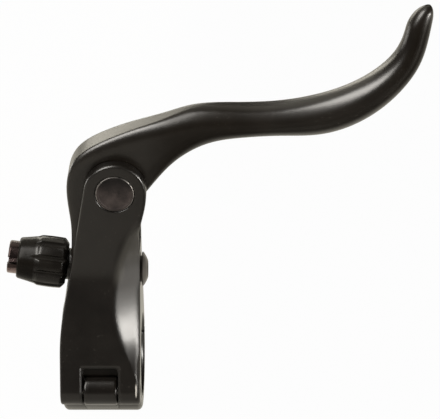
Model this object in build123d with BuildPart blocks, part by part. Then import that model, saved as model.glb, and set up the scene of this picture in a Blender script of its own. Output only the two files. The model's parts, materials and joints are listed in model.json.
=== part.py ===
from build123d import *
import os
from math import acos, asin, atan2, cos, hypot, radians, sin, sqrt

# A bar-top brake lever for a drop handlebar: a forked body with a hinged clamp, a curved lever blade on a
# pivot between the fork's arms, and a screw adjuster for the cable housing on the lever's tail.
# Origin at the middle of the handlebar. +X runs along the bar towards the blade's free end, +Z runs from
# the bar to the pivot, and the pivot's axis is parallel to Y with the finished face at -Y. Millimetres.

os.makedirs("parts", exist_ok=True)

# Clearances
running_clearance = 0.05
press_clearance = 0.02
free_clearance = 0.3

# Handlebar clamp
bar_diameter = 26.0
clamp_width = 24.0
clamp_wall = 4.2
split_gap = 1.0
band_edge_radius = 1.6

# Clamp hinge
hinge_y = -17.5
hinge_z = -1.5
lug_radius = 4.5
hinge_pin_diameter = 3.0
hinge_pin_inset = 0.3
hinge_pin_chamfer = 0.3
knuckle_width = 10.2
knuckle_round = 0.8
notch_top_z = 7.0
notch_corner_radius = 1.2

# Clamp bolt, square to the line from the hinge so that its tip swings clear of its thread
bolt_tilt = 12.0
bolt_wall = 2.2
bolt_diameter = 5.0
bolt_core_diameter = 4.2
bolt_hole_clearance = 0.25
bolt_engagement = 8.4
bolt_head_diameter = 8.5
bolt_head_height = 5.0
bolt_head_round = 0.4
bolt_tip_chamfer = 0.4
bolt_key_size = 4.0
bolt_key_depth = 2.6
bolt_lug_radius = 4.6
bolt_lug_thickness = 6.0
boss_cap = 2.6
boss_cap_radius = 1.8
washer_diameter = 9.4
washer_thickness = 1.0

# Fork and pivot
pivot_x = 5.4
pivot_z = 60.5
arm_end_radius = 9.1
arm_thickness = 3.6
arm_straight_z = 44.0
arm_foot_x = -7.8
arm_foot_z = 38.0
shoulder_z = 10.0
body_bend_z = 34.0
body_bend_radius = 20.0
body_edge_radius = 0.7
web_height_z = 38.6
web_corner_radius = 2.0
slot_floor_radius = 2.0
slot_floor_gap = 1.2

# Scoop in the body's side, a hollow cut that runs from the front face towards the back of the side.
# Its profile is given as the distance out from the bore's middle, along the scoop's plane, and the height.
scoop_angle = 30.0
scoop_profile = (
    (25.3, 0.0),
    (19.4, 10.8),
    (14.7, 20.4),
    (12.2, 28.2),
    (10.8, 36.5),
    (11.7, 44.0),
    (14.2, 50.5),
)

# Lever pivot hardware
pivot_diameter = 6.0
pivot_head_diameter = 11.3
pivot_head_thickness = 1.8
pivot_head_proud = 0.1
pivot_head_clearance = 0.15
pivot_head_chamfer = 0.7
pivot_head_chamfer_depth = 0.35
bush_wall = 1.0
thrust_washer_thickness = 0.5
thrust_washer_diameter = 12.6
spring_washer_diameter = 8.6
pivot_screw_diameter = 4.0
pivot_screw_length = 7.0
pivot_screw_head_diameter = 7.6
pivot_screw_head_height = 2.2
pivot_screw_head_round = 1.1
pivot_screw_key_size = 2.5
pivot_screw_key_depth = 1.3
pivot_washer_diameter = 10.0
pivot_washer_thickness = 0.8

# Return spring, a torsion coil round the bush
spring_wire_diameter = 1.1
spring_pitch = 1.2
spring_turns = 2.25
spring_leg_length = 6.5
spring_anchor_depth = 1.8
spring_pocket_floor = 1.0

# Brake lever: stations from the tail to the tip, measured from the pivot. Each tail station gives the
# middle of the section (along X, along Z), the heading of the lever there in degrees, the section's height
# in the lever's plane and how far its rounded corners reach across it and down it. Each blade station
# gives the middle as shares of the lever's reach along X and rise along Z, then the heading, the height,
# the width along Y and the corners; its steps shorten towards the tip. The run-out below the tail keeps
# the tail's end true and is cut off there.
lever_thickness = 10.0
lever_reach = 88.7
lever_rise = 54.9
tail_run_out = (
    (-10.3, -71.0, 90.0, 7.7, 1.2, 1.2),
    (-9.9, -59.0, 90.0, 8.5, 1.2, 1.2),
    (-9.4, -47.0, 90.0, 9.3, 1.2, 1.2),
)
tail_stations = (
    (-8.95, -35.0, 90.0, 10.1, 1.2, 1.2),
    (-8.1, -23.0, 85.0, 11.45, 1.2, 1.2),
    (-6.9, -13.25, 79.4, 13.6, 1.2, 1.4),
    (-5.4, -4.75, 64.7, 19.9, 1.2, 2.2),
    (-2.3, 2.05, 53.4, 22.7, 1.3, 3.4),
    (3.15, 6.65, 39.8, 20.2, 1.5, 4.4),
)
blade_stations = (
    (0.1015, 0.1886, 27.6, 16.8, 10.0, 2.0, 4.9),
    (0.1815, 0.2623, 17.4, 13.4, 10.2, 3.0, 5.0),
    (0.2728, 0.3287, 15.5, 11.9, 10.8, 4.5, 5.5),
    (0.4092, 0.3570, 6.0, 9.6, 11.6, 4.8, 4.6),
    (0.5400, 0.3679, 4.0, 9.3, 12.0, 4.9, 4.5),
    (0.6697, 0.3916, 13.0, 11.2, 12.4, 5.6, 5.4),
    (0.7982, 0.4736, 30.0, 10.7, 12.0, 5.4, 5.2),
    (0.8929, 0.5956, 47.0, 9.0, 10.6, 4.6, 4.4),
    (0.9478, 0.7220, 63.0, 7.7, 9.2, 3.9, 3.7),
    (0.9688, 0.8293, 74.7, 7.05, 8.05, 3.55, 3.4),
    (0.9786, 0.9062, 83.2, 6.65, 7.1, 3.25, 3.15),
    (0.9871, 0.9515, 89.9, 5.7, 6.0, 2.75, 2.7),
    (0.9927, 0.9774, 93.4, 4.35, 4.75, 2.1, 2.05),
    (0.9969, 0.9913, 95.0, 2.9, 3.2, 1.35, 1.35),
    (1.0000, 1.0000, 96.0, 1.6, 1.8, 0.7, 0.7),
)

# Cable adjuster on the lever's tail, measured along its axis from the tail's face
adjuster_drop = 28.4
adjuster_back = 14.0
adjuster_tilt = 8.2
collar_diameter = 9.5
collar_length = 1.5
spigot_diameter = 6.6
spigot_length = 8.5
spigot_flats = 5.2
wire_hole_diameter = 2.2
knob_diameter = 15.0
knob_length = 14.8
knob_nose_diameter = 12.6
knob_nose_length = 5.3
knob_chamfer = 1.4
knob_nose_chamfer = 0.5
knob_lip = 1.4
knob_flutes = 10
flute_radius = 0.9
flute_depth = 0.5
sleeve_diameter = 9.9
sleeve_start = 5.3
sleeve_length = 14.0
sleeve_slot_width = 2.0
sleeve_chamfer = 0.5
socket_depth = 6.0
socket_wall = 1.0
housing_diameter = 5.0
housing_clearance = 0.1

# Housing stop in the body's side
stop_z = 30.5
stop_flange_diameter = 10.3
stop_flange_thickness = 1.7
stop_dome_radius = 8.3
stop_neck_diameter = 8.0
stop_neck_length = 0.5
stop_spigot_diameter = 7.2
stop_spigot_length = 3.8
stop_socket_depth = 4.6

# Sizes that follow from the ones above
bore_radius = bar_diameter / 2
ring_radius = bore_radius + clamp_wall
side_x = clamp_width / 2
fork_half = lever_thickness / 2 + thrust_washer_thickness + running_clearance
arm_face = fork_half + arm_thickness
hinge_pin_radius = hinge_pin_diameter / 2
relief_radius = lug_radius + free_clearance + press_clearance
knuckle_radius = lug_radius
notch_half = knuckle_width / 2 + free_clearance
pivot_radius = pivot_diameter / 2
bush_inner = pivot_radius + running_clearance
bush_outer = bush_inner + bush_wall
hub_radius = bush_outer + press_clearance
spring_wire_radius = spring_wire_diameter / 2
spring_radius = bush_outer + running_clearance + spring_wire_radius + free_clearance
pocket_radius = spring_radius + spring_wire_radius + free_clearance
leg_slot_width = spring_wire_diameter + 2 * free_clearance
tail_x = pivot_x - adjuster_back
tail_z = pivot_z - adjuster_drop
socket_radius = housing_diameter / 2 + housing_clearance
wire_hole_radius = wire_hole_diameter / 2
reach = clamp_width + ring_radius

# Directions in the bolt's plane: along the bolt and out from the hinge
bolt_along = Vector(0, -sin(radians(bolt_tilt)), cos(radians(bolt_tilt)))
bolt_out = Vector(0, cos(radians(bolt_tilt)), sin(radians(bolt_tilt)))
hinge_point = Vector(0, hinge_y, hinge_z)
bolt_offset = bore_radius + bolt_wall + bolt_diameter / 2 - hinge_point.dot(bolt_out)
bolt_foot = hinge_point + bolt_out * bolt_offset
bolt_plane = Plane(origin=bolt_foot, x_dir=(1, 0, 0), z_dir=bolt_along)
split_level = -bolt_engagement / 2
band_level = split_level - split_gap
lug_level = band_level - bolt_lug_thickness
washer_level = lug_level - washer_thickness
boss_level = bolt_engagement / 2 + boss_cap

pivot_plane = Plane(origin=(pivot_x, 0, pivot_z), x_dir=(1, 0, 0), z_dir=(0, 1, 0))
adjuster_plane = Plane(
    origin=(tail_x, 0, tail_z),
    x_dir=(0, -1, 0),
    z_dir=(-cos(radians(adjuster_tilt)), 0, sin(radians(adjuster_tilt))),
)
stop_plane = Plane(origin=(side_x, 0, stop_z), x_dir=(0, 1, 0), z_dir=(1, 0, 0))
scoop_plane = Plane(
    origin=(0, 0, 0),
    x_dir=(sin(radians(scoop_angle)), -cos(radians(scoop_angle)), 0),
    z_dir=(-cos(radians(scoop_angle)), -sin(radians(scoop_angle)), 0),
)


def tangent_touch(start, centre, radius, side):
    """Where a line from a point touches a circle, on the side given by the sign of side."""
    across = centre[0] - start[0]
    down = centre[1] - start[1]
    distance = hypot(across, down)
    heading = atan2(down, across) + side * asin(radius / distance)
    length = sqrt(distance**2 - radius**2)
    return (start[0] + length * cos(heading), start[1] + length * sin(heading))


def lever_plane(station_x, station_z, heading):
    """The plane of a lever section: x across the lever, y towards its outer edge."""
    along = (cos(radians(heading)), 0, sin(radians(heading)))
    return Plane(origin=(pivot_x + station_x, 0, pivot_z + station_z), x_dir=(0, 1, 0), z_dir=along)


def tail_edge(station, clearance):
    """The point on a tail section's inner edge, moved out from the lever by a clearance."""
    plane = lever_plane(*station[:3])
    edge = plane.origin - plane.y_dir * (station[3] / 2 + clearance)
    return (edge.X, edge.Z)


# Path of the return spring's coil: its start lies in the lever and its end in the rear arm
spring_start = spring_pocket_floor + spring_wire_radius + running_clearance
with BuildLine() as spring_path:
    coil = Helix(
        spring_pitch,
        spring_pitch * spring_turns,
        spring_radius,
        center=(pivot_x, spring_start, pivot_z),
        direction=(0, 1, 0),
    )
spring_leg_plane = Plane(origin=coil @ 0, x_dir=(0, 1, 0), z_dir=(1, 0, 0))
spring_anchor_plane = Plane(origin=coil @ 1, x_dir=(1, 0, 0), z_dir=(0, 1, 0))

# Clamp body: the front outline and the side profile meet in one solid, then the slot, bore and holes
front_touch = tangent_touch((-arm_face, body_bend_z), (hinge_y, hinge_z), lug_radius, -1)
rear_touch = tangent_touch((arm_face, body_bend_z), (0, 0), ring_radius, 1)
arm_touch = tangent_touch((arm_foot_x, arm_foot_z), (pivot_x, pivot_z), arm_end_radius, 1)
arm_top_z = pivot_z + arm_end_radius
arm_slope = (arm_foot_x - arm_touch[0], arm_foot_z - arm_touch[1])
tail_foot = tail_edge(tail_stations[0], free_clearance)
tail_knee = tail_edge(tail_stations[1], free_clearance)
slot_floor_z = tail_foot[1] - slot_floor_gap


def on_outer_face(edge):
    """Whether an edge bounds the body's front or rear face."""
    middle = edge.center()
    front = middle.Y < -arm_face + press_clearance and middle.Z > front_touch[1]
    rear = middle.Y > arm_face - press_clearance and middle.Z > rear_touch[1]
    return front or rear


def on_notch_top(edge):
    """Whether an edge is one of the two upper corners of the notch for the knuckle."""
    middle = edge.center()
    return abs(middle.Z - notch_top_z) < press_clearance and middle.Y < 0


with BuildPart() as ring_blank:
    with BuildSketch(Plane.YZ):
        Circle(ring_radius)
    extrude(amount=side_x, both=True)
    fillet(ring_blank.edges().filter_by(GeomType.CIRCLE), radius=body_edge_radius)
    with BuildSketch(bolt_plane.offset(split_level)):
        Rectangle(2 * reach, 4 * reach)
    extrude(amount=-2 * reach, mode=Mode.SUBTRACT)

with BuildPart() as lug_blank:
    with BuildSketch(Plane.YZ):
        with Locations((hinge_y, hinge_z)):
            Circle(lug_radius)
    extrude(amount=side_x, both=True)
    fillet(lug_blank.edges().filter_by(GeomType.CIRCLE), radius=body_edge_radius)

with BuildPart() as clamp_body:
    with BuildSketch(Plane.XZ):
        with BuildLine():
            right_side = Line((side_x, -reach), (side_x, arm_straight_z))
            right_curve = Spline(
                right_side @ 1, (pivot_x + arm_end_radius, pivot_z), tangents=((0, 1), (0, 1))
            )
            arm_end = ThreePointArc(right_curve @ 1, (pivot_x, arm_top_z), arm_touch)
            left_edge = Line(arm_end @ 1, (arm_foot_x, arm_foot_z))
            left_curve = Spline(left_edge @ 1, (-side_x, shoulder_z), tangents=(arm_slope, (0, -1)))
            left_side = Line(left_curve @ 1, (-side_x, -reach))
            Line(left_side @ 1, right_side @ 0)
        make_face()
    extrude(amount=reach, both=True)
    with BuildSketch(Plane.YZ) as side_profile:
        with BuildLine():
            Polyline(
                (-arm_face, arm_top_z + free_clearance),
                (-arm_face, body_bend_z),
                front_touch,
                (hinge_y, hinge_z),
                (0, 0),
                rear_touch,
                (arm_face, body_bend_z),
                (arm_face, arm_top_z + free_clearance),
                close=True,
            )
        make_face()
        bends = side_profile.vertices().filter_by(lambda v: abs(v.Y - body_bend_z) < press_clearance)
        fillet(bends, radius=body_bend_radius)
    extrude(amount=reach, both=True, mode=Mode.INTERSECT)
    outline_edges = clamp_body.edges().filter_by(Axis.X, reverse=True).filter_by(Axis.Y, reverse=True)
    outline_edges = outline_edges.filter_by(on_outer_face)
    fillet(outline_edges, radius=body_edge_radius)
    add(ring_blank.part)
    add(lug_blank.part)
    # Boss for the clamp bolt on the rear
    with BuildSketch(bolt_plane.offset(split_level)):
        Circle(bolt_lug_radius)
        with Locations((0, -bolt_lug_radius)):
            Rectangle(2 * bolt_lug_radius, 2 * bolt_lug_radius)
    extrude(amount=boss_level - split_level)
    boss_rim = clamp_body.edges().filter_by(GeomType.CIRCLE).group_by(Axis.Y)[-1].sort_by(Axis.Z)[-1]
    fillet(boss_rim, radius=boss_cap_radius)
    with BuildSketch(Plane.YZ):
        Circle(bore_radius)
    extrude(amount=reach, both=True, mode=Mode.SUBTRACT)
    # Notch for the knuckle
    with BuildSketch(Plane.YZ):
        with BuildLine():
            Polyline(
                (hinge_y, notch_top_z),
                (-reach, notch_top_z),
                (-reach, -reach),
                (0, -reach),
                (0, 0),
                (hinge_y, hinge_z),
                close=True,
            )
        make_face()
        with Locations((hinge_y, hinge_z)):
            Circle(relief_radius)
    extrude(amount=notch_half, both=True, mode=Mode.SUBTRACT)
    notch_corners = clamp_body.edges().filter_by(Axis.Y).filter_by(on_notch_top)
    fillet(notch_corners, radius=notch_corner_radius)
    with BuildSketch(Plane.YZ):
        with Locations((hinge_y, hinge_z)):
            Circle(hinge_pin_radius + press_clearance)
    extrude(amount=reach, both=True, mode=Mode.SUBTRACT)
    # Slot for the lever, closed on the right by the web that carries the housing stop
    with BuildSketch(Plane.XZ) as slot:
        with BuildLine():
            Polyline(
                (-reach, slot_floor_z),
                (tail_foot[0], slot_floor_z),
                (tail_knee[0], web_height_z),
                (reach, web_height_z),
                (reach, arm_top_z + reach),
                (-reach, arm_top_z + reach),
                close=True,
            )
        make_face()
        web_foot = slot.vertices().filter_by(lambda v: abs(v.X - tail_foot[0]) < press_clearance)
        web_head = slot.vertices().filter_by(lambda v: abs(v.X - tail_knee[0]) < press_clearance)
        fillet(web_foot, radius=slot_floor_radius)
        fillet(web_head, radius=web_corner_radius)
    extrude(amount=fork_half, both=True, mode=Mode.SUBTRACT)
    # Scoop in the right-hand front edge
    with BuildSketch(scoop_plane):
        with BuildLine():
            scoop_hollow = Spline(*scoop_profile)
            Polyline(
                scoop_hollow @ 1,
                scoop_hollow @ 1 + Vector(2 * reach, 0),
                scoop_hollow @ 0 + Vector(2 * reach, 0),
                scoop_hollow @ 0,
            )
        make_face()
    extrude(amount=reach, both=True, mode=Mode.SUBTRACT)
    # Holes: pivot with the recess for its head, bolt thread, housing stop, wire and spring anchor
    with BuildSketch(pivot_plane.offset(-reach)):
        Circle(pivot_radius + press_clearance)
    extrude(amount=2 * reach, mode=Mode.SUBTRACT)
    with BuildSketch(pivot_plane.offset(-arm_face - reach)):
        Circle(pivot_head_diameter / 2 + pivot_head_clearance)
    extrude(amount=reach + pivot_head_thickness, mode=Mode.SUBTRACT)
    with BuildSketch(bolt_plane.offset(split_level)):
        Circle(bolt_diameter / 2)
    extrude(amount=bolt_engagement + bolt_hole_clearance, mode=Mode.SUBTRACT)
    with BuildSketch(stop_plane):
        Circle(stop_spigot_diameter / 2 + press_clearance)
    extrude(amount=-stop_spigot_length - running_clearance, mode=Mode.SUBTRACT)
    with BuildSketch(stop_plane):
        Circle(wire_hole_radius)
    extrude(amount=-clamp_width, mode=Mode.SUBTRACT)
    with BuildSketch(spring_anchor_plane.offset(fork_half - spring_anchor_plane.origin.Y)):
        Circle(spring_wire_radius + running_clearance)
    extrude(amount=spring_anchor_depth + free_clearance, mode=Mode.SUBTRACT)
clamp_body.part.label = "clamp_body"
export_step(clamp_body.part, "parts/clamp_body.step")

# Common tangent of the knuckle and the ring, which bounds the web between them
web_angle = atan2(hinge_z, hinge_y) + acos((ring_radius - knuckle_radius) / hypot(hinge_y, hinge_z))
web_normal = (cos(web_angle), sin(web_angle))
knuckle_touch = (hinge_y + knuckle_radius * web_normal[0], hinge_z + knuckle_radius * web_normal[1])
ring_touch = (ring_radius * web_normal[0], ring_radius * web_normal[1])

# Knuckle of the band, with a web whose underside runs straight into the ring
with BuildPart() as knuckle_blank:
    with BuildSketch(Plane.YZ):
        with BuildLine():
            Polyline((hinge_y, hinge_z), knuckle_touch, ring_touch, (0, hinge_z - split_gap), close=True)
        make_face()
        with Locations((hinge_y, hinge_z)):
            Circle(knuckle_radius)
    extrude(amount=knuckle_width / 2, both=True)
    fillet(knuckle_blank.faces().filter_by(Axis.X).edges(), radius=knuckle_round)

# Clamp band: the lower half of the ring with its hinge knuckle and bolt lug
with BuildPart() as clamp_band:
    with BuildSketch(Plane.YZ):
        Circle(ring_radius)
    extrude(amount=side_x, both=True)
    fillet(clamp_band.edges().filter_by(GeomType.CIRCLE), radius=band_edge_radius)
    with BuildSketch(Plane.YZ):
        with Locations((hinge_y, hinge_z)):
            Circle(relief_radius)
    extrude(amount=side_x, both=True, mode=Mode.SUBTRACT)
    with BuildSketch(bolt_plane.offset(lug_level)):
        Circle(bolt_lug_radius)
        with Locations((0, -bolt_lug_radius)):
            Rectangle(2 * bolt_lug_radius, 2 * bolt_lug_radius)
    extrude(amount=bolt_lug_thickness)
    with BuildSketch(bolt_plane.offset(band_level)):
        Rectangle(2 * reach, 4 * reach)
    extrude(amount=2 * reach, mode=Mode.SUBTRACT)
    add(knuckle_blank.part)
    with BuildSketch(Plane.YZ):
        Circle(bore_radius)
    extrude(amount=side_x, both=True, mode=Mode.SUBTRACT)
    with BuildSketch(Plane.YZ):
        with Locations((hinge_y, hinge_z)):
            Circle(hinge_pin_radius + running_clearance)
    extrude(amount=side_x, both=True, mode=Mode.SUBTRACT)
    with BuildSketch(bolt_plane.offset(lug_level)):
        Circle(bolt_diameter / 2 + bolt_hole_clearance)
    extrude(amount=bolt_lug_thickness + split_gap, mode=Mode.SUBTRACT)
    # Spot face for the bolt's washer and head
    with BuildSketch(bolt_plane.offset(lug_level)):
        Circle(washer_diameter / 2 + free_clearance)
    extrude(amount=-reach, mode=Mode.SUBTRACT)
clamp_band.part.label = "clamp_band"
export_step(clamp_band.part, "parts/clamp_band.step")

# Hinge pin
with BuildPart() as hinge_pin:
    with BuildSketch(Plane.YZ):
        with Locations((hinge_y, hinge_z)):
            Circle(hinge_pin_radius)
    extrude(amount=side_x - body_edge_radius - hinge_pin_inset, both=True)
    chamfer(hinge_pin.edges().filter_by(GeomType.CIRCLE), length=hinge_pin_chamfer)
hinge_pin.part.label = "hinge_pin"
export_step(hinge_pin.part, "parts/hinge_pin.step")

# Clamp bolt: socket head under the band's lug, full shank in the lug, thread core in the body
with BuildPart() as clamp_bolt:
    with BuildSketch(bolt_plane.offset(washer_level)):
        Circle(bolt_head_diameter / 2)
    extrude(amount=-bolt_head_height)
    head_rim = clamp_bolt.edges().filter_by(GeomType.CIRCLE).sort_by(Axis.Z)[0]
    fillet(head_rim, radius=bolt_head_round)
    with BuildSketch(bolt_plane.offset(washer_level)):
        Circle(bolt_diameter / 2 - running_clearance)
    extrude(amount=lug_level + bolt_lug_thickness - washer_level)
    with BuildSketch(bolt_plane.offset(washer_level)):
        Circle(bolt_core_diameter / 2)
    extrude(amount=bolt_engagement / 2 - washer_level)
    tip_rim = clamp_bolt.edges().filter_by(GeomType.CIRCLE).sort_by(Axis.Z)[-1]
    chamfer(tip_rim, length=bolt_tip_chamfer)
    with BuildSketch(bolt_plane.offset(washer_level - bolt_head_height)):
        RegularPolygon(bolt_key_size / 2, 6, major_radius=False)
    extrude(amount=bolt_key_depth, mode=Mode.SUBTRACT)
clamp_bolt.part.label = "clamp_bolt"
export_step(clamp_bolt.part, "parts/clamp_bolt.step")

with BuildPart() as clamp_washer:
    with BuildSketch(bolt_plane.offset(washer_level)):
        Circle(washer_diameter / 2)
        Circle(bolt_diameter / 2 + running_clearance, mode=Mode.SUBTRACT)
    extrude(amount=washer_thickness)
clamp_washer.part.label = "clamp_washer"
export_step(clamp_washer.part, "parts/clamp_washer.step")

# Brake lever: a loft from the tail over the hub along the blade to the tip, and the adjuster's seat
lever_sections = []
for station_x, station_z, heading, height, across, down in tail_run_out + tail_stations:
    plane = lever_plane(station_x, station_z, heading)
    lever_sections.append((plane, height, lever_thickness, across, down))
for reach_share, rise_share, heading, *section in blade_stations:
    plane = lever_plane(reach_share * lever_reach, rise_share * lever_rise, heading)
    lever_sections.append((plane, *section))

with BuildPart() as brake_lever:
    for plane, height, width, across, down in lever_sections:
        corner_y = width / 2 - across
        corner_z = height / 2 - down
        with BuildSketch(plane):
            with BuildLine():
                EllipticalCenterArc((corner_y, corner_z), across, down, 0, arc_size=90)
                Line((corner_y, height / 2), (-corner_y, height / 2))
                EllipticalCenterArc((-corner_y, corner_z), across, down, 90, arc_size=90)
                Line((-width / 2, corner_z), (-width / 2, -corner_z))
                EllipticalCenterArc((-corner_y, -corner_z), across, down, 180, arc_size=90)
                Line((-corner_y, -height / 2), (corner_y, -height / 2))
                EllipticalCenterArc((corner_y, -corner_z), across, down, 270, arc_size=90)
                Line((width / 2, -corner_z), (width / 2, corner_z))
            make_face()
    loft()
    split(bisect_by=lever_plane(*tail_stations[0][:3]), keep=Keep.TOP)
    # Seat for the adjuster: collar, flattened spigot and wire hole
    with BuildSketch(adjuster_plane.offset(-collar_length)):
        Circle(collar_diameter / 2)
    extrude(amount=2 * collar_length)
    with BuildSketch(adjuster_plane.offset(collar_length)):
        Circle(spigot_diameter / 2)
        Rectangle(spigot_diameter, spigot_flats, mode=Mode.INTERSECT)
    extrude(amount=spigot_length)
    with BuildSketch(adjuster_plane.offset(-reach)):
        Circle(wire_hole_radius)
    extrude(amount=2 * reach, mode=Mode.SUBTRACT)
    # Hub: bush hole, spring pocket on the rear and the slot for the spring's leg
    with BuildSketch(pivot_plane.offset(-lever_thickness)):
        Circle(hub_radius)
    extrude(amount=2 * lever_thickness, mode=Mode.SUBTRACT)
    with BuildSketch(pivot_plane.offset(spring_pocket_floor)):
        Circle(pocket_radius)
    extrude(amount=lever_thickness, mode=Mode.SUBTRACT)
    with BuildSketch(pivot_plane.offset(spring_pocket_floor)):
        with Locations((-spring_leg_length / 2, -spring_radius)):
            Rectangle(spring_leg_length + leg_slot_width, leg_slot_width)
    extrude(amount=lever_thickness, mode=Mode.SUBTRACT)
brake_lever.part.label = "brake_lever"
export_step(brake_lever.part, "parts/brake_lever.step")

# Pivot pin with its flush disc head, tapped at the rear
with BuildPart() as pivot_pin:
    with BuildSketch(pivot_plane.offset(-arm_face - pivot_head_proud)):
        Circle(pivot_head_diameter / 2)
    extrude(amount=pivot_head_thickness + pivot_head_proud)
    disc_rim = pivot_pin.edges().filter_by(GeomType.CIRCLE).sort_by(Axis.Y)[0]
    chamfer(disc_rim, length=pivot_head_chamfer_depth, length2=pivot_head_chamfer)
    with BuildSketch(pivot_plane.offset(-arm_face)):
        Circle(pivot_radius)
    extrude(amount=2 * arm_face - running_clearance)
    with BuildSketch(pivot_plane.offset(arm_face - running_clearance)):
        Circle(pivot_screw_diameter / 2)
    extrude(amount=-pivot_screw_length - free_clearance, mode=Mode.SUBTRACT)
pivot_pin.part.label = "pivot_pin"
export_step(pivot_pin.part, "parts/pivot_pin.step")

with BuildPart() as pivot_washer:
    with BuildSketch(pivot_plane.offset(arm_face)):
        Circle(pivot_washer_diameter / 2)
        Circle(pivot_screw_diameter / 2 + running_clearance, mode=Mode.SUBTRACT)
    extrude(amount=pivot_washer_thickness)
pivot_washer.part.label = "pivot_washer"
export_step(pivot_washer.part, "parts/pivot_washer.step")

# Button-head screw that holds the pivot pin
screw_seat = arm_face + pivot_washer_thickness
with BuildPart() as pivot_screw:
    with BuildSketch(pivot_plane.offset(screw_seat)):
        Circle(pivot_screw_head_diameter / 2)
    extrude(amount=pivot_screw_head_height)
    button_rim = pivot_screw.edges().filter_by(GeomType.CIRCLE).sort_by(Axis.Y)[-1]
    fillet(button_rim, radius=pivot_screw_head_round)
    with BuildSketch(pivot_plane.offset(screw_seat)):
        Circle(pivot_screw_diameter / 2 - press_clearance)
    extrude(amount=-pivot_screw_length)
    with BuildSketch(pivot_plane.offset(screw_seat + pivot_screw_head_height)):
        RegularPolygon(pivot_screw_key_size / 2, 6, major_radius=False)
    extrude(amount=-pivot_screw_key_depth, mode=Mode.SUBTRACT)
pivot_screw.part.label = "pivot_screw"
export_step(pivot_screw.part, "parts/pivot_screw.step")

# Bearing bush in the hub and a thrust washer on each side of it
with BuildPart() as lever_bush:
    with BuildSketch(pivot_plane.offset(-lever_thickness / 2)):
        Circle(bush_outer)
        Circle(bush_inner, mode=Mode.SUBTRACT)
    extrude(amount=lever_thickness)
lever_bush.part.label = "lever_bush"
export_step(lever_bush.part, "parts/lever_bush.step")

with BuildPart() as thrust_washer_front:
    with BuildSketch(pivot_plane.offset(-fork_half)):
        Circle(thrust_washer_diameter / 2)
        Circle(bush_inner, mode=Mode.SUBTRACT)
    extrude(amount=thrust_washer_thickness)
thrust_washer_front.part.label = "thrust_washer_front"
export_step(thrust_washer_front.part, "parts/thrust_washer_front.step")

with BuildPart() as thrust_washer_rear:
    with BuildSketch(pivot_plane.offset(fork_half)):
        Circle(spring_washer_diameter / 2)
        Circle(bush_inner, mode=Mode.SUBTRACT)
    extrude(amount=-thrust_washer_thickness)
thrust_washer_rear.part.label = "thrust_washer_rear"
export_step(thrust_washer_rear.part, "parts/thrust_washer_rear.step")

# Return spring: a coil, a leg that lies in the lever's slot and a leg that stands in the rear arm
with BuildPart() as return_spring:
    with BuildSketch(spring_leg_plane):
        Circle(spring_wire_radius)
    sweep(path=spring_path.line, is_frenet=True)
    with BuildSketch(spring_leg_plane):
        Circle(spring_wire_radius)
    extrude(amount=-spring_leg_length)
    with BuildSketch(spring_anchor_plane):
        Circle(spring_wire_radius)
    extrude(amount=fork_half + spring_anchor_depth - spring_anchor_plane.origin.Y)
return_spring.part.label = "return_spring"
export_step(return_spring.part, "parts/return_spring.step")

# Adjuster knob: turns on the spigot, its thread drives the sleeve
knob_start = collar_length + running_clearance
knob_end = knob_start + knob_length
knob_step = knob_end - knob_nose_length
sleeve_radius = sleeve_diameter / 2
with BuildPart() as adjuster_knob:
    with BuildSketch(adjuster_plane.offset(knob_start)):
        Circle(knob_diameter / 2)
    extrude(amount=knob_length - knob_nose_length)
    knob_rims = adjuster_knob.edges().filter_by(GeomType.CIRCLE).sort_by(Axis.X)
    chamfer(knob_rims[-1], length=knob_chamfer)
    chamfer(knob_rims[0], length=knob_nose_chamfer)
    with BuildSketch(adjuster_plane.offset(knob_start)):
        with PolarLocations(knob_diameter / 2 + flute_radius - flute_depth, knob_flutes):
            Circle(flute_radius)
    extrude(amount=knob_length - knob_nose_length, mode=Mode.SUBTRACT)
    with BuildSketch(adjuster_plane.offset(knob_step)):
        Circle(knob_nose_diameter / 2)
    extrude(amount=knob_nose_length)
    nose_rim = adjuster_knob.edges().filter_by(GeomType.CIRCLE).sort_by(Axis.X)[0]
    chamfer(nose_rim, length=knob_nose_chamfer)
    with BuildSketch(adjuster_plane.offset(knob_start + knob_lip)):
        Circle(sleeve_radius + running_clearance)
    extrude(amount=knob_length, mode=Mode.SUBTRACT)
    with BuildSketch(adjuster_plane.offset(knob_start)):
        Circle(spigot_diameter / 2 + running_clearance)
    extrude(amount=knob_lip, mode=Mode.SUBTRACT)
adjuster_knob.part.label = "adjuster_knob"
export_step(adjuster_knob.part, "parts/adjuster_knob.step")

# Adjuster sleeve: a slotted tube with the housing socket at its outer end, keyed on the spigot's flats
sleeve_end = sleeve_start + sleeve_length
with BuildPart() as adjuster_sleeve:
    with BuildSketch(adjuster_plane.offset(sleeve_start)):
        Circle(sleeve_radius)
    extrude(amount=sleeve_length)
    chamfer(adjuster_sleeve.edges().filter_by(GeomType.CIRCLE), length=sleeve_chamfer)
    with BuildSketch(adjuster_plane.offset(sleeve_start)):
        Circle(spigot_diameter / 2 + running_clearance)
        Rectangle(spigot_diameter * 2, spigot_flats + 2 * running_clearance, mode=Mode.INTERSECT)
    extrude(amount=sleeve_length - socket_depth - socket_wall, mode=Mode.SUBTRACT)
    with BuildSketch(adjuster_plane.offset(sleeve_end)):
        Circle(socket_radius)
    extrude(amount=-socket_depth, mode=Mode.SUBTRACT)
    with BuildSketch(adjuster_plane.offset(sleeve_start)):
        Circle(wire_hole_radius)
        with Locations((sleeve_radius, 0)):
            Rectangle(2 * sleeve_radius, sleeve_slot_width)
    extrude(amount=sleeve_length, mode=Mode.SUBTRACT)
adjuster_sleeve.part.label = "adjuster_sleeve"
export_step(adjuster_sleeve.part, "parts/adjuster_sleeve.step")

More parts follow.
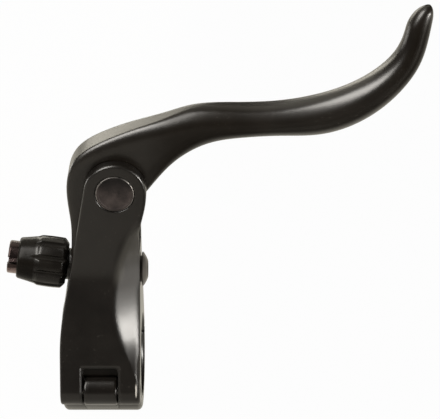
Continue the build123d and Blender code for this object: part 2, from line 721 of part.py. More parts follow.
# Housing stop: a turned ferrule with a domed flange, pressed into the web
flange_start = stop_neck_length
flange_end = flange_start + stop_flange_thickness
dome_end = flange_end + stop_dome_radius - sqrt(stop_dome_radius**2 - socket_radius**2)
with BuildPart() as housing_stop:
    with BuildSketch(stop_plane.offset(flange_start)):
        Circle(stop_flange_diameter / 2)
    extrude(amount=stop_flange_thickness)
    with Locations(stop_plane.offset(dome_end - stop_dome_radius)):
        Sphere(stop_dome_radius, mode=Mode.INTERSECT)
    with BuildSketch(stop_plane):
        Circle(stop_neck_diameter / 2)
    extrude(amount=stop_neck_length)
    with BuildSketch(stop_plane):
        Circle(stop_spigot_diameter / 2)
    extrude(amount=-stop_spigot_length)
    with BuildSketch(stop_plane.offset(flange_end)):
        Circle(socket_radius)
    extrude(amount=-stop_socket_depth, mode=Mode.SUBTRACT)
    with BuildSketch(stop_plane.offset(-stop_spigot_length)):
        Circle(wire_hole_radius)
    extrude(amount=stop_spigot_length + flange_end, mode=Mode.SUBTRACT)
housing_stop.part.label = "housing_stop"
export_step(housing_stop.part, "parts/housing_stop.step")
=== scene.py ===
# %% [markdown]
# # A bar-top brake lever
# The lever sits beside the stem of a racing bicycle and pulls the brake cable apart by its housing. Its
# pieces come from the CAD model, in metres, in their places. This lesson gives them the finishes that the
# real pieces have, and remodels the ones whose fine detail the CAD model leaves plain.

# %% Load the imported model
import json
import math

import bmesh
import bpy
from mathutils import Matrix, Vector

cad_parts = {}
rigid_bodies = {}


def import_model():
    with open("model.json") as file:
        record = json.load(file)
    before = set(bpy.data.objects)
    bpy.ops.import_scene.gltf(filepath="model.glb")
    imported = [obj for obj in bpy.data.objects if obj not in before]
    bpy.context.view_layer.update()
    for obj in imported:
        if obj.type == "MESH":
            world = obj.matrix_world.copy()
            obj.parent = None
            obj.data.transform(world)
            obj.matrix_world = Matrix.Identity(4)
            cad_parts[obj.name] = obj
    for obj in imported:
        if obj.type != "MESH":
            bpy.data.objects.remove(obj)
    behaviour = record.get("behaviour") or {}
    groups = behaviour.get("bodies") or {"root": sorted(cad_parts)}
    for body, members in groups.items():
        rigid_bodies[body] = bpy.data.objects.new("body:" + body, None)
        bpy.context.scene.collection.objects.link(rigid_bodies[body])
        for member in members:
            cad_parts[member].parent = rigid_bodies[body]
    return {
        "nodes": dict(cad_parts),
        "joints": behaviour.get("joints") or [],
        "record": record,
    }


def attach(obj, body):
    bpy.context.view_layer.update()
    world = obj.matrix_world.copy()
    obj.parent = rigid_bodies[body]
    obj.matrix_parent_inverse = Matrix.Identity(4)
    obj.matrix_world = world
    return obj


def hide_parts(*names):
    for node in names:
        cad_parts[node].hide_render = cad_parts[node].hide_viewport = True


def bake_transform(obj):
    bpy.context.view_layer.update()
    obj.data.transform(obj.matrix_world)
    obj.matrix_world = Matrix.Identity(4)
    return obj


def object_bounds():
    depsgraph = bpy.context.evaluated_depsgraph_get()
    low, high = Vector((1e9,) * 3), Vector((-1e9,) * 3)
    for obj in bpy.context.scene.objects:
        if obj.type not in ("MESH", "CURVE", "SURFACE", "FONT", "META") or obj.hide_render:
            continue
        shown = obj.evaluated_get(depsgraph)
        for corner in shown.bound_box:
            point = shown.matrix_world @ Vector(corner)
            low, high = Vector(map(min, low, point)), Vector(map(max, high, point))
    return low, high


MM = 0.001


def in_mm(box):
    """A box's corners in millimetres, for printing."""
    return [[round(value / MM, 1) for value in corner] for corner in box]


bpy.ops.object.select_all(action="SELECT")
bpy.ops.object.delete()
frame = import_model()
cad_box = [list(corner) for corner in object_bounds()]
nodes = frame["nodes"]
print("pieces:", len(nodes), "box in mm:", in_mm(cad_box))

# %% [markdown]
# ## Camera
# The photograph looks down on the lever from 28 degrees, from far away, so the sides of the body hardly
# converge. A long lens at a good half metre gives that. The distance and the lens belong together: nearer
# with a shorter lens would spread the clamp and shrink the tip.

# %% Camera
camera_target = Vector((35.93, 21.03, 39.55)) * MM
camera_distance = 560 * MM
camera_elevation = math.radians(28)
frame_width = 136.4 * MM
sensor_width_mm = 36
towards_camera = Vector((0, -math.cos(camera_elevation), math.sin(camera_elevation)))
bpy.ops.object.camera_add(
    location=camera_target + towards_camera * camera_distance,
    rotation=(math.pi / 2 - camera_elevation, 0, 0),
)
camera = bpy.context.object
camera.data.sensor_fit = "HORIZONTAL"
camera.data.sensor_width = sensor_width_mm
camera.data.lens = sensor_width_mm * camera_distance / frame_width
camera.data.clip_start = 10 * MM
bpy.context.scene.camera = camera
print("lens in mm:", round(camera.data.lens, 1))

# %% [markdown]
# ## Numbers on wires
# A material is a net of nodes joined by wires. To write its sums as plain Python, one small class holds a
# socket and answers to + - * / with a Math node. Every other node comes from its one method, add. Places on
# a piece are read in millimetres, so that a number below can be held against a drawing of the piece.


# %% Wire class
class Wire:
    """One socket of a material, on which sums can be done."""

    def __init__(self, tree, socket=None):
        self.tree = tree
        self.socket = socket

    def add(self, kind, settings=None, inputs=None, output=0):
        """A new node: its settings are set first, then the values or wires of its sockets."""
        node = self.tree.nodes.new(kind)
        for name, value in (settings or {}).items():
            setattr(node, name, value)
        for name, value in (inputs or {}).items():
            if isinstance(value, Wire):
                self.tree.links.new(value.socket, node.inputs[name])
            else:
                node.inputs[name].default_value = value
        return Wire(self.tree, node.outputs[output] if len(node.outputs) else None)

    def maths(self, operation, first, second=0.0):
        return self.add("ShaderNodeMath", {"operation": operation}, {0: first, 1: second})

    def __add__(self, other):
        return self.maths("ADD", self, other)

    def __radd__(self, other):
        return self.maths("ADD", other, self)

    def __sub__(self, other):
        return self.maths("SUBTRACT", self, other)

    def __rsub__(self, other):
        return self.maths("SUBTRACT", other, self)

    def __mul__(self, other):
        return self.maths("MULTIPLY", self, other)

    def __truediv__(self, other):
        return self.maths("DIVIDE", self, other)

    def __pow__(self, other):
        return self.maths("POWER", self, other)

    def at_least(self, other):
        """The larger of two values."""
        return self.maths("MAXIMUM", self, other)

    def size(self):
        """The value without its sign."""
        return self.maths("ABSOLUTE", self)

    def limit(self, low, high):
        """0 below low, 1 above high and a soft step between."""
        settings = {"interpolation_type": "SMOOTHSTEP"}
        return self.add("ShaderNodeMapRange", settings, {"Value": self, "From Min": low, "From Max": high})

    def fade(self, low, high):
        """1 below low, 0 above high and a soft step between."""
        return 1 - self.limit(low, high)

    def tint(self, dark, light):
        """A colour between two, dark where this value is 0 and light where it is 1."""
        dark, light = [shade if isinstance(shade, Wire) else (*shade, 1) for shade in (dark, light)]
        return self.add("ShaderNodeMix", {"data_type": "RGBA"}, {0: self, 6: dark, 7: light}, output=2)

    def vector(self, operation, other=(0, 0, 0), output=0):
        """A sum on two vectors."""
        return self.add("ShaderNodeVectorMath", {"operation": operation}, {0: self, 1: other}, output)

    def axes(self, unit=1):
        """The X, Y and Z of a vector, counted in a unit."""
        return [self.add("ShaderNodeSeparateXYZ", {}, {"Vector": self}, axis) / unit for axis in "XYZ"]


# %% [markdown]
# ## What all finishes share
# Every finish starts from a place on its piece, wanders between two colours with a coarse and a fine grain,
# and has a bump too fine to see as a shape. Some are glossy in one part and flat in another: they mix two
# surfaces that differ only in the index of refraction, which sets how much a surface mirrors.


# %% Shared recipes
def new_finish(name):
    """An empty material, a wire on it and the place on the piece."""
    material = bpy.data.materials.new(name)
    material.use_nodes = True
    material.node_tree.nodes.clear()
    wire = Wire(material.node_tree)
    return material, wire, wire.add("ShaderNodeTexCoord", output="Object")


def cover(wire, surface):
    """Make a surface the one that shows."""
    wire.add("ShaderNodeOutputMaterial", {}, {"Surface": surface})


def grain(wire, spot, size_mm, detail=2.0):
    """Cloudy noise whose lumps are about this many millimetres across."""
    values = {"Vector": spot, "Scale": 1 / (size_mm * MM), "Detail": detail, "Roughness": 0.5}
    return wire.add("ShaderNodeTexNoise", {}, values)


def mottle(coarse, fine, coarse_share, dark, light):
    """A colour that wanders between two with a coarse and a fine grain."""
    return (coarse * coarse_share + fine * (1 - coarse_share)).limit(0.3, 0.7).tint(dark, light)


def fine_bump(wire, height, strength=0.3, normal=None):
    """A normal roughened by a height of about a fiftieth of a millimetre."""
    values = {"Strength": strength, "Distance": 0.02 * MM, "Height": height}
    if normal:
        values["Normal"] = normal
    return wire.add("ShaderNodeBump", {}, values)


def two_gloss(wire, coat, glossy_ior, flat_ior, dull):
    """A coat that is glossy where dull is 0 and flat where dull is 1."""
    pair = [wire.add("ShaderNodeBsdfPrincipled", {}, {**coat, "IOR": ior}) for ior in (glossy_ior, flat_ior)]
    return wire.add("ShaderNodeMixShader", {}, {0: dull, 1: pair[0], 2: pair[1]})


# %% [markdown]
# ## Floor, room and lamps
# The object lies in a white studio. The floor is a large sheet that the camera sees as white, and so do
# reflections behind the object, while a small share stays plain paper so that it still takes a soft shadow.
# A black object shows little but what it mirrors, so light and shade are painted into the paper in front of
# it: a painted pool of light at the left for the flat arms, a small dimmer painted patch in front of the
# blade, and a narrow bright painted pool at the right under the lamp for the scoop. Between them the paper is
# painted black as shade, which darkens the blade's lower half.

# %% Floor
floor_level = cad_box[0][2]
bpy.ops.mesh.primitive_plane_add(size=6, location=(0, 0, floor_level))
floor = bpy.context.object
floor.name = "floor"
floor_paper, wire, spot = new_finish("floor_paper")
looked_at = wire.add("ShaderNodeLightPath", output="Is Camera Ray")
mirrored = wire.add("ShaderNodeLightPath", output="Is Glossy Ray")
mirrored = mirrored.at_least(wire.add("ShaderNodeLightPath", output="Is Transmission Ray"))
# Painted light and shade in the floor paper's colour: painted pools of light at the left and under the right
# lamp, a small painted patch in front, and painted shade between them.
painted_shade_tone, painted_pool_tone, painted_patch_tone, painted_bright_tone, glow_share = 0.03, 0.25, 0.15, 0.9, 0.98
across, depth, _ = spot.axes(MM)
white = looked_at.at_least(mirrored * depth.limit(-40, 10))
slant = (depth / across + 0.75).size()
aside = ((across - 70) * (across - 70) + (depth + 100) * (depth + 100)) ** 0.5
painted_left_pool = across.fade(-5, 45) * painted_pool_tone
painted_front_patch = aside.fade(20, 50) * painted_patch_tone
painted_lamp_pool = slant.fade(0.14, 0.26) * across.limit(170, 220) * painted_bright_tone
# The black paper is painted shade, with a faint real paper grain.
painted_shade_paper = painted_shade_tone + grain(wire, spot, 3.0) * 0.02
tone = painted_shade_paper + painted_left_pool + painted_front_patch + painted_lamp_pool
paper = wire.add("ShaderNodeBsdfDiffuse", {}, {"Color": tone.tint((0, 0, 0), (1.0, 0.965, 0.90))})
glow_colour = looked_at.tint((1, 0.945, 0.81), (1, 1, 1))
glow = wire.add("ShaderNodeEmission", {}, {"Color": glow_colour, "Strength": 1.0})
cover(wire, wire.add("ShaderNodeMixShader", {}, {0: white * glow_share, 1: paper, 2: glow}))
floor.data.materials.append(floor_paper)
print("floor at", round(floor_level / MM, 2), "mm")

# %% [markdown]
# Five soft boxes do the lighting. One at the right front makes the bright scoop, a large one overhead on the
# left draws the soft streak on the blade, a low one behind lights the flat top of the lever, a large dim one
# above that stands for a backdrop, and a small one at the left draws the rims. The room stays dim. A lamp is
# described by the brightness of its face, because that is what the black paint mirrors.

# %% Room and soft boxes
lamp_tint = (1.0, 0.965, 0.91)
warm_tint = (1.0, 0.95, 0.82)
room = bpy.data.worlds.new("dim_room")
bpy.context.scene.world = room
room.use_nodes = True
room.node_tree.nodes["Background"].inputs["Color"].default_value = (1, 0.96, 0.90, 1)
room.node_tree.nodes["Background"].inputs["Strength"].default_value = 0.03


def soft_box(name, direction, across, distance, size, brightness, tint=lamp_tint):
    """A soft box, sized in metres, that shines on the lever from a direction; its width lies across."""
    facing = Vector(direction).normalized()
    side = (Vector(across) - facing * facing.dot(Vector(across))).normalized()
    tilt = Matrix((side, facing.cross(side), facing)).transposed().to_euler()
    bpy.ops.object.light_add(type="AREA", location=camera_target + facing * distance, rotation=tilt)
    lamp = bpy.context.object
    lamp.name = name
    lamp.data.shape = "RECTANGLE"
    lamp.data.size, lamp.data.size_y = size
    lamp.data.energy = brightness * math.pi * size[0] * size[1]
    lamp.data.color = tint
    lamp.visible_camera = False


soft_box("right_box", (0.835, -0.515, 0.195), (0.55, 0.83, 0), 0.75, (0.44, 0.13), 40.0)
soft_box("overhead_box", (-0.50, -0.36, 0.79), (0.92, -0.39, 0), 0.80, (0.34, 0.80), 14.0)
soft_box("rear_box", (-0.43, 0.86, 0.27), (-0.88, -0.45, 0), 0.75, (0.60, 0.20), 4.0, warm_tint)
soft_box("backdrop_box", (-0.17, 0.58, 0.80), (-0.96, -0.27, 0), 0.80, (1.00, 0.60), 0.75, warm_tint)
soft_box("left_box", (-0.94, 0.32, 0.01), (-0.32, -0.94, 0), 0.60, (0.34, 0.12), 7.0)

# %% [markdown]
# ## The body's scoop and hinge lugs
# The scoop in the body's side was dressed with a file: its rim and its right edge run out softly, and its
# face curls upwards at the foot and at the head. The edges of the hinge lugs are rolled over. All this is
# finer than the forging's own shape, so it is done here on the surface's normal, which needs no new faces.


# %% Scoop and lugs
def inside_scoop(x, z):
    """How far a place lies inside the scoop's rim, which runs as a parabola."""
    return x - 4.7 - (z - 27) * (z - 27) * 0.012


def soften_scoop(wire, x, y, z, rounded):
    """The normal with soft edges round the scoop, and its face leaning upwards at foot and head."""
    inside = inside_scoop(x, z)
    along_rim = inside.size().fade(2.0, 4.0) * z.limit(9, 14) * z.fade(47, 52)
    along_edge = x.limit(8.5, 10.5) * z.limit(3, 6) * z.fade(26, 31)
    soft = along_rim.at_least(along_edge) * y.fade(-6, -5)
    filed = wire.add("ShaderNodeBevel", {"samples": 16}, {"Radius": 3 * MM})
    normal = wire.add("ShaderNodeMix", {"data_type": "VECTOR"}, {0: soft, 4: rounded, 5: filed}, output=1)
    sideways, forwards, _ = wire.add("ShaderNodeNewGeometry", output="Normal").axes()
    in_scoop = sideways.limit(0.25, 0.4) * sideways.fade(0.6, 0.75) * forwards.fade(-0.5, -0.3)
    foot = (15 - z).at_least(0) * z.limit(0, 4) * 0.032
    head = (z - 30).at_least(0) * inside.limit(0, 2.5) * 0.022
    lean = wire.add("ShaderNodeCombineXYZ", {}, {"Z": (foot + head) * in_scoop})
    return normal.vector("ADD", lean).vector("NORMALIZE")


def roll_lugs(wire, x, y, z, normal):
    """The normal with the hinge lugs rolled over towards the notch and towards their right end."""
    notch_half, notch_top, roll_width, right_end = 5.4, 7.0, 1.0, 10.4
    beside = (x.size() - notch_half).at_least(0)
    above = (z - notch_top).at_least(0)
    near_notch = (roll_width - (beside * beside + above * above) ** 0.5).at_least(0)
    near_end = (x - right_end).at_least(0)
    to_notch = near_notch * near_notch * y.fade(-18.8, -17.0) * 0.5
    to_end = near_end * near_end * z.fade(4, 12) * 0.35
    fallen = {"Strength": 1.0, "Distance": MM, "Height": 0 - to_notch - to_end, "Normal": normal}
    return wire.add("ShaderNodeBump", {}, fallen)


# %% [markdown]
# ## Painted sheen and highlight, and where the paint is dull
# The scoop's head has a painted sheen and one lug's end a painted highlight. Paint tells how a piece was
# handled.
# Fingers and rags polish what they reach, and the rest stays dull: the hinge's notch with the top of the
# knuckle, the lever's root, and the outer end of the blade, though less at its very tip.


# %% Worn and dull places
def body_painted_light(x, y, z):
    """A painted sheen at the scoop's head and a painted highlight on one lug's end, with their colours."""
    inside = inside_scoop(x, z)
    beside_rim = inside.fade(1.0, 2.8) * z.limit(29, 34)
    head = z.limit(34.5, 40).at_least(beside_rim) * z.fade(46, 53)
    # A lighter colour at the scoop's head: a painted sheen.
    painted_head_sheen = inside.limit(-1.5, 0.8) * head * y.fade(-6, -5)
    # A light colour on the right lug's end: a painted highlight line.
    lug_edge = x.limit(10.5, 10.7) * x.fade(10.9, 11.1) * y.fade(-18.5, -18.0)
    painted_lug_highlight = lug_edge * (z - 0.5).size().fade(1.0, 2.4)
    return [(painted_head_sheen, (0.036, 0.034, 0.030)), (painted_lug_highlight, (0.40, 0.38, 0.35))]


def dull_body(x, y, z):
    """Where the body and the band are dull, from 0 to 1."""
    in_notch = x.size().fade(5.1, 5.4) * z.fade(6.8, 7.0) * y.fade(-13, -12)
    knuckle_top = z.limit(-0.4, 1.2) * (0.5 + x.limit(-4.2, -3.0) * 0.5)
    return in_notch * y.limit(-18.0, -17.6).at_least(knuckle_top)


def dull_lever(x, y, z):
    """Where the lever is dull, from 0 to 1."""
    root = x.limit(12, 24) * x.fade(36, 58) * 0.8
    tip = (z * 0.883 + y * 0.469).limit(94, 99)
    return root.at_least(x.limit(81, 91) * (0.95 - tip * 0.65))


# %% [markdown]
# ## Satin black paint
# Body, band and lever are forged, blasted and sprayed with a satin black. Sprayed paint is never flat: it
# has a fine orange peel of about a millimetre, a grain from the matting agent, and soft clouds where the
# coat is thicker. The peel and grain are a bump, the clouds change the roughness and the colour a little,
# and some dust has settled. Paint also rounds every edge that it runs over, which the Bevel node gives
# without new geometry.


# %% Satin paint
def body_details(wire, x, y, z, rounded):
    """The body's and the band's normal, painted sheen and highlight, and dullness."""
    normal = roll_lugs(wire, x, y, z, soften_scoop(wire, x, y, z, rounded))
    return normal, body_painted_light(x, y, z), dull_body(x, y, z)


def lever_details(wire, x, y, z, rounded):
    """The lever's normal, an empty list of painted places, and dullness."""
    return rounded, [], dull_lever(x, y, z)


def satin_paint(name, dark, light, edge_radius_mm, details):
    """Sprayed paint; details gives its normal, the places of painted sheen or highlight, and how dull it is.
    """
    polished_ior, dull_ior = 1.55, 1.25
    material, wire, spot = new_finish(name)
    clouds = grain(wire, spot, 9.0, 3.0)
    peel = grain(wire, spot, 0.9, 1.0)
    matting = grain(wire, spot, 0.16)
    dust = grain(wire, spot, 0.7, 0.0).limit(0.74, 0.80) * clouds.limit(0.45, 0.6) * 0.12
    rounded = wire.add("ShaderNodeBevel", {"samples": 8}, {"Radius": edge_radius_mm * MM})
    normal, painted_marks, dull = details(wire, *spot.axes(MM), rounded)
    colour = mottle(clouds, matting, 0.8, dark, light)
    # Dust, and on the body a painted sheen and a painted highlight, are tinted into the colour.
    for place, shade in [(dust, (0.10, 0.095, 0.085)), *painted_marks]:
        colour = place.tint(colour, shade)
    coat = {
        "Base Color": colour,
        "Roughness": 0.26 + clouds * 0.06 + matting * 0.03,
        "Normal": fine_bump(wire, peel * 0.3 + matting * 0.2, normal=normal),
    }
    cover(wire, two_gloss(wire, coat, polished_ior, dull_ior, dull))
    return material


body_dark, body_light = (0.0028, 0.0021, 0.0016), (0.0048, 0.0038, 0.0029)
lever_dark, lever_light = (0.0046, 0.0035, 0.0025), (0.0075, 0.0060, 0.0045)
body_satin = satin_paint("body_satin_black", body_dark, body_light, 0.7, body_details)
lever_satin = satin_paint("lever_satin_black", lever_dark, lever_light, 1.0, lever_details)
print("paints:", body_satin.name, lever_satin.name)

# %% [markdown]
# ## Turned and anodised aluminium
# The pivot's disc, the adjuster's sleeve and the housing stop are turned and dyed black. The tool leaves
# rings round the axis, so the pattern follows the distance from the axis of the piece. The dye is thin: on
# the disc's rim, where fingers and rags rub, it is worn to bare metal in patches, strongest at the sides as a
# painted highlight. The sleeve's lower lobe is painted lighter as a reflection, and the disc's upper half is
# darker.


# %% Anodised finish
def disc_wear_and_highlight(wire, spot, offset, radius):
    """A darker upper half and bare patches on its rim, strongest at the sides as a painted highlight, with
    their colours.
    """
    sideways, _, upwards = offset.axes(MM)
    # The disc is darker towards the top.
    upper_darkening = upwards.limit(-1.5, 4.5) * 0.85
    # Bare patches on the rim: wear, made strongest at the sides as a painted highlight of the rim's bright
    # arcs.
    side_highlight_weight = 0.2 + sideways.size().limit(2.0, 4.5) * 0.6
    rubbed_and_highlight = (radius / MM).limit(5.25, 5.45) * grain(wire, spot, 1.5, 3.0).limit(0.3, 0.5) * side_highlight_weight
    return [(upper_darkening, (0.004, 0.0035, 0.0035)), (rubbed_and_highlight, (0.24, 0.225, 0.21))]


def sleeve_painted_reflection(wire, spot, offset, radius):
    """The sleeve's lower lobe, painted lighter as a reflection, with its colour."""
    height = spot.axes(MM)[2]
    # The sleeve's lower lobe is painted lighter: a painted reflection.
    painted_lower_reflection = height.fade(33.2, 33.8) * grain(wire, spot, 1.2, 3.0).limit(0.25, 0.5)
    return [(painted_lower_reflection, (0.22, 0.165, 0.160))]


def turned_black(name, centre, axis, dark, light, roughness, metallic=0.55, wear_and_sheen=None):
    """Turned and dyed aluminium; the last argument gives worn places, painted highlights and painted
    reflections, with their colours.
    """
    feed_mm = 0.22
    material, wire, spot = new_finish(name)
    offset = spot.vector("SUBTRACT", centre)
    along = offset.vector("DOT_PRODUCT", axis, "Value")
    radius = offset.vector("CROSS_PRODUCT", axis).vector("LENGTH", output="Value")
    rings = wire.maths("SINE", (radius + along) * (2 * math.pi / (feed_mm * MM)))
    clouds = grain(wire, spot, 4.0, 3.0)
    pits = grain(wire, spot, 0.12)
    colour = mottle(clouds, pits, 0.7, dark, light)
    # Worn places, painted highlights and painted reflections are tinted into the colour.
    for place, shade in wear_and_sheen(wire, spot, offset, radius) if wear_and_sheen else []:
        colour = place.tint(colour, shade)
    metal = {
        "Base Color": colour,
        "Metallic": metallic,
        "Roughness": roughness + clouds * 0.1 + rings * 0.02,
        "Normal": fine_bump(wire, rings * 0.3 + pits * 0.7),
    }
    cover(wire, wire.add("ShaderNodeBsdfPrincipled", {}, metal))
    return material


pivot_axis = (0, 1, 0)
pivot_centre = tuple(frame["joints"][0]["pos_m"])
adjuster_axis = tuple(frame["joints"][1]["axis"])
adjuster_centre = tuple(frame["joints"][1]["pos_m"])
stop_axis = (1, 0, 0)
stop_centre = (12 * MM, 0, 30.5 * MM)
disc_dark, disc_light = (0.016, 0.013, 0.013), (0.068, 0.055, 0.052)
sleeve_dark, sleeve_light = (0.028, 0.020, 0.019), (0.060, 0.044, 0.042)
stop_dark, stop_light = (0.045, 0.041, 0.038), (0.075, 0.068, 0.063)
disc_black = turned_black("disc_black", pivot_centre, pivot_axis, disc_dark, disc_light, 0.36, wear_and_sheen=disc_wear_and_highlight)
sleeve_black = turned_black(
    "sleeve_black", adjuster_centre, adjuster_axis, sleeve_dark, sleeve_light, 0.20, 0.95, sleeve_painted_reflection
)
stop_black = turned_black("stop_black", stop_centre, stop_axis, stop_dark, stop_light, 0.30)
print("turned finishes:", disc_black.name, sleeve_black.name, stop_black.name)

# %% [markdown]
# ## Moulded plastics
# The knob is moulded in black nylon, with the faint spark-eroded grain of its mould. Fingers polish its ribs,
# so that their ends glint, and leave its plain nose dull. The bearing pieces are a natural grey-brown acetal,
# a little waxy.


# %% Plastics
def moulded(name, dark, light, roughness, grain_mm, dull_beyond_mm=None):
    """Moulded plastic; beyond a place along the adjuster's axis it can be dull."""
    polished_ior, dull_ior = 1.36, 1.18
    material, wire, spot = new_finish(name)
    texture = grain(wire, spot, grain_mm)
    flow = grain(wire, spot, 6.0)
    skin = {
        "Base Color": mottle(flow, texture, 0.6, dark, light),
        "Roughness": roughness + flow * 0.1,
        "Normal": fine_bump(wire, texture),
    }
    if dull_beyond_mm:
        along = spot.vector("SUBTRACT", adjuster_centre).vector("DOT_PRODUCT", adjuster_axis, "Value")
        dull = (along / MM).limit(dull_beyond_mm, dull_beyond_mm + 0.6)
        surface = two_gloss(wire, skin, polished_ior, dull_ior, dull)
    else:
        surface = wire.add("ShaderNodeBsdfPrincipled", {}, {**skin, "IOR": polished_ior})
    cover(wire, surface)
    return material


knob_dark, knob_light = (0.0036, 0.0030, 0.0024), (0.0074, 0.0063, 0.0051)
acetal_dark, acetal_light = (0.16, 0.15, 0.13), (0.22, 0.21, 0.19)
knob_nylon = moulded("knob_nylon", knob_dark, knob_light, 0.22, 0.22, dull_beyond_mm=11.0)
bearing_acetal = moulded("bearing_acetal", acetal_dark, acetal_light, 0.35, 0.5)
print("plastics:", knob_nylon.name, bearing_acetal.name)

# %% [markdown]
# ## Steel
# Pins and washers are bright turned steel, the screws are blackened by an oxide bath, and the spring is
# drawn wire. All three share one recipe: metal whose tone and roughness wander with a fine scratch grain.


# %% Steels
def steel(name, dark, light, roughness, scratch_mm):
    """Steel with a scratch grain that runs along the pivot."""
    material, wire, spot = new_finish(name)
    stretched = wire.add("ShaderNodeMapping", {}, {"Vector": spot, "Scale": (1.0, 0.15, 1.0)})
    scratches = grain(wire, stretched, scratch_mm, 3.0)
    stain = grain(wire, spot, 3.0, 3.0)
    metal = {
        "Base Color": mottle(stain, scratches, 0.6, dark, light),
        "Metallic": 1.0,
        "Roughness": roughness + stain * 0.15,
        "Normal": fine_bump(wire, scratches, strength=0.25),
    }
    cover(wire, wire.add("ShaderNodeBsdfPrincipled", {}, metal))
    return material


bright_steel = steel("bright_steel", (0.42, 0.41, 0.40), (0.58, 0.57, 0.55), 0.25, 0.2)
black_oxide = steel("black_oxide", (0.045, 0.045, 0.047), (0.085, 0.085, 0.088), 0.35, 0.15)
drawn_wire = steel("drawn_wire", (0.28, 0.27, 0.26), (0.40, 0.39, 0.37), 0.25, 0.12)
print("steels:", bright_steel.name, black_oxide.name, drawn_wire.name)

# %% [markdown]
# ## Turning on a lathe
# Half of this lever's small pieces come off a lathe, so one helper does what a lathe does. It takes the
# outline of half the piece, as radius and place along the axis, and spins it once round. A cylinder with
# insets and extrudes would also do, but an outline reads like a drawing of the real piece. The outline is
# turned upright at the origin, shaped further there, and last of all its mesh is laid along its axis.

# %% Lathe helpers
weld_distance = 0.004 * MM


def make_active(piece):
    """Select one piece alone."""
    bpy.ops.object.select_all(action="DESELECT")
    piece.select_set(True)
    bpy.context.view_layer.objects.active = piece


def turn(name, outline_mm, steps):
    """Spin a closed outline of (radius, along) points once round the Z axis."""
    bpy.ops.object.select_all(action="DESELECT")
    bpy.ops.mesh.primitive_circle_add(vertices=len(outline_mm), fill_type="NOTHING")
    piece = bpy.context.object
    piece.name = name
    for vertex, (radius, along) in zip(piece.data.vertices, outline_mm):
        vertex.co = (radius * MM, 0, along * MM)
    bpy.ops.object.mode_set(mode="EDIT")
    bpy.ops.mesh.select_all(action="SELECT")
    bpy.ops.mesh.spin(steps=steps, angle=2 * math.pi, center=(0, 0, 0), axis=(0, 0, 1))
    bpy.ops.mesh.select_all(action="SELECT")
    bpy.ops.mesh.remove_doubles(threshold=weld_distance)
    bpy.ops.mesh.delete_loose()
    bpy.ops.mesh.select_all(action="SELECT")
    bpy.ops.mesh.normals_make_consistent(inside=False)
    bpy.ops.object.mode_set(mode="OBJECT")
    return piece


def round_rings(piece, rings_mm, width_mm, segments):
    """Bevel the rings of edges that lie at these (radius, along) places."""
    same_place_mm = 0.01
    bpy.ops.object.mode_set(mode="EDIT")
    bpy.ops.mesh.select_mode(type="EDGE")
    bpy.ops.mesh.select_all(action="DESELECT")
    shell = bmesh.from_edit_mesh(piece.data)
    for edge in shell.edges:
        ends = [(math.hypot(end.co.x, end.co.y) / MM, end.co.z / MM) for end in edge.verts]
        edge.select_set(any(all(math.dist(end, ring) < same_place_mm for end in ends) for ring in rings_mm))
    bmesh.update_edit_mesh(piece.data)
    bpy.ops.mesh.bevel(offset=width_mm * MM, segments=segments)
    bpy.ops.object.mode_set(mode="OBJECT")


def reshape(piece, radius_at):
    """Give each point of a turned piece a new radius, from its own radius, angle and place along the axis."""
    for vertex in piece.data.vertices:
        radius = math.hypot(vertex.co.x, vertex.co.y)
        angle = math.atan2(vertex.co.y, vertex.co.x)
        wanted = radius_at(radius / MM, angle, vertex.co.z / MM) * MM
        vertex.co.x = wanted * math.cos(angle)
        vertex.co.y = wanted * math.sin(angle)


# %% Fitting helpers
def lay_along(piece, centre, along, angle_zero, smooth_deg):
    """Lay an upright piece along its real axis and smooth all edges blunter than an angle."""
    along = Vector(along).normalized()
    first = (Vector(angle_zero) - along * along.dot(Vector(angle_zero))).normalized()
    turned = Matrix((first, along.cross(first), along)).transposed().to_4x4()
    piece.data.transform(Matrix.Translation(Vector(centre)) @ turned)
    make_active(piece)
    bpy.ops.object.shade_smooth_by_angle(angle=math.radians(smooth_deg))


def fit(piece, node, finish):
    """Let a piece stand for a CAD node: same body, its own finish, and the node hidden."""
    bodies = frame["record"]["behaviour"]["bodies"]
    body = next(name for name, members in bodies.items() if node in members)
    piece.data.materials.clear()
    piece.data.materials.append(finish)
    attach(piece, body)
    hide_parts(node)
    print(piece.name, "for", node, "on", body, "faces:", len(piece.data.polygons))


# %% [markdown]
# ## Pivot pin
# The flush disc on the front arm is the head of the pivot pin, which is turned from one bar. Its face is
# dished a tenth of a millimetre inside a rolled rim, and that rim draws the thin bright arcs that show the
# disc at all on a black arm. A flat CAD disc has no such rim, so the pin is turned again here.

# %% Pivot pin
arm_face = -9.15
rim_face, dish_edge, dish_floor = arm_face - 0.10, arm_face + 0.05, arm_face + 0.10
head_back, shaft_end, thread_end = -7.35, 9.1, 1.8
pin_outline = [(0, dish_floor), (4.6, dish_edge), (4.9, rim_face), (5.65, rim_face)]
pin_outline += [(5.65, head_back), (3.0, head_back), (3.0, shaft_end)]
pin_outline += [(2.0, shaft_end), (2.0, thread_end), (0, thread_end)]
pin = turn("pivot_pin_turned", pin_outline, 96)
round_rings(pin, [(5.65, rim_face)], 0.42, 5)
round_rings(pin, [(4.9, rim_face), (4.6, dish_edge)], 0.12, 3)
lay_along(pin, (pivot_centre[0], 0, pivot_centre[2]), pivot_axis, (1, 0, 0), 40)
fit(pin, "pivot_pin", disc_black)

# %% [markdown]
# ## Adjuster knob
# The knob is moulded: ten ribs for the fingers that run out in a slope towards a plain nose. It is turned
# with close rings first, and then every point between two ribs is pulled in to the flute's round floor.
# Cutting ten flutes with a Boolean would leave the sharp ends that a mould does not make.

